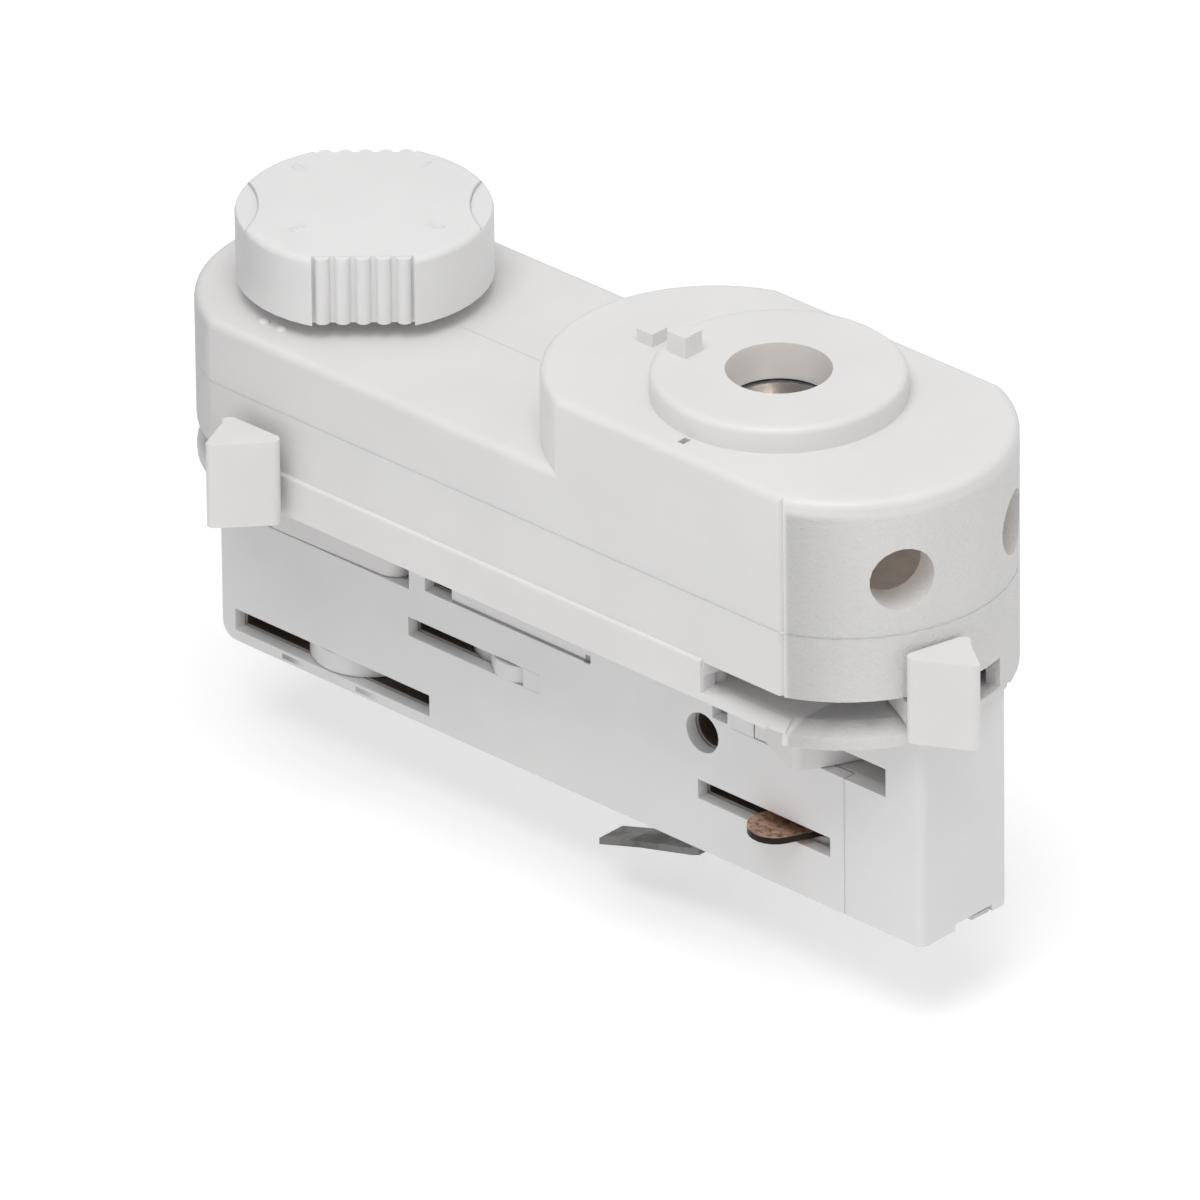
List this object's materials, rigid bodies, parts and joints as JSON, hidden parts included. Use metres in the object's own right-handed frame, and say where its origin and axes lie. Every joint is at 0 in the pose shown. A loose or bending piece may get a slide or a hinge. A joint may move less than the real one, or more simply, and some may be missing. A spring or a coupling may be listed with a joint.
{
  "type": "track light adapter",
  "caption": "Track light adapter with a phase selector knob, two locking levers, swing-out contacts and a raised boss with a nipple hole.",
  "frame": {"origin": "On the insert's bottom face, on the middle plane, halfway between the selector axis and the nipple axis", "axes": "+Z from the track to the luminaire, +X along the track from the selector knob to the nipple boss, -Y the front with the contact slots"},
  "size_m": [0.1182, 0.0448, 0.0687],
  "materials": {
    "top_cover": "satin",
    "base_housing": "satin",
    "insert_body": "satin",
    "insert_panel": "satin",
    "phase_knob": "semi-gloss",
    "lever_plastic": "semi-gloss",
    "rotor_plastic": "satin",
    "gear_plastic": "satin",
    "terminal_plastic": "satin",
    "brass": "plain",
    "copper": "plain",
    "steel": "zinc plated",
    "spring_steel": "dark"
  },
  "bodies": {
    "housing": {"top_cover": "top_cover", "base_housing": "base_housing", "selector_bearing_plate": "steel", "lever_bearing_plate": "steel", "insert_body": "insert_body", "insert_panel": "insert_panel", "nipple_nut": "steel", "terminal_block": "terminal_plastic", "earth_spring": "spring_steel", "earth_strip": "steel", "terminal_clamp_1": "brass", "terminal_clamp_2": "brass", "terminal_clamp_3": "brass", "terminal_clamp_4": "brass", "terminal_clamp_5": "brass", "terminal_screw_1": "steel", "terminal_screw_2": "steel", "terminal_screw_3": "steel", "terminal_screw_4": "steel", "terminal_screw_5": "steel", "conductor_1": "copper", "conductor_2": "copper", "conductor_3": "copper", "conductor_4": "copper"},
    "selector": {"phase_knob": "phase_knob", "selector_shaft": "rotor_plastic", "selector_gear": "gear_plastic", "phase_contact_1": "copper"},
    "phase_switch": {"phase_rotor": "rotor_plastic", "rotor_gear": "gear_plastic", "phase_contact_2": "copper", "phase_contact_3": "copper"},
    "left_lock": {"left_lever": "lever_plastic", "left_locking_cam": "lever_plastic"},
    "right_lock": {"right_lever": "lever_plastic", "right_locking_cam": "lever_plastic", "contact_rotor": "rotor_plastic", "neutral_contact": "copper"}
  },
  "joints": [
    {"name": "knob_turn", "type": "hinge", "parent": "housing", "child": "selector", "pos_m": [-0.03175, 0, 0], "axis": [0, 0, 1], "range_deg": [0, 135]},
    {"name": "phase_rotor_turn", "type": "hinge", "parent": "housing", "child": "phase_switch", "pos_m": [-0.00875, 0, 0], "axis": [0, 0, 1], "range_deg": [-135, 0]},
    {"name": "left_lever_turn", "type": "hinge", "parent": "housing", "child": "left_lock", "pos_m": [-0.03175, 0, 0], "axis": [0, 0, 1], "range_deg": [-90, 0]},
    {"name": "right_lever_turn", "type": "hinge", "parent": "housing", "child": "right_lock", "pos_m": [0.04165, 0, 0], "axis": [0, 0, 1], "range_deg": [-76.3, 13.7]}
  ],
  "couplings": [
    {"joint": "phase_rotor_turn", "follows": "knob_turn", "ratio": -1}
  ]
}
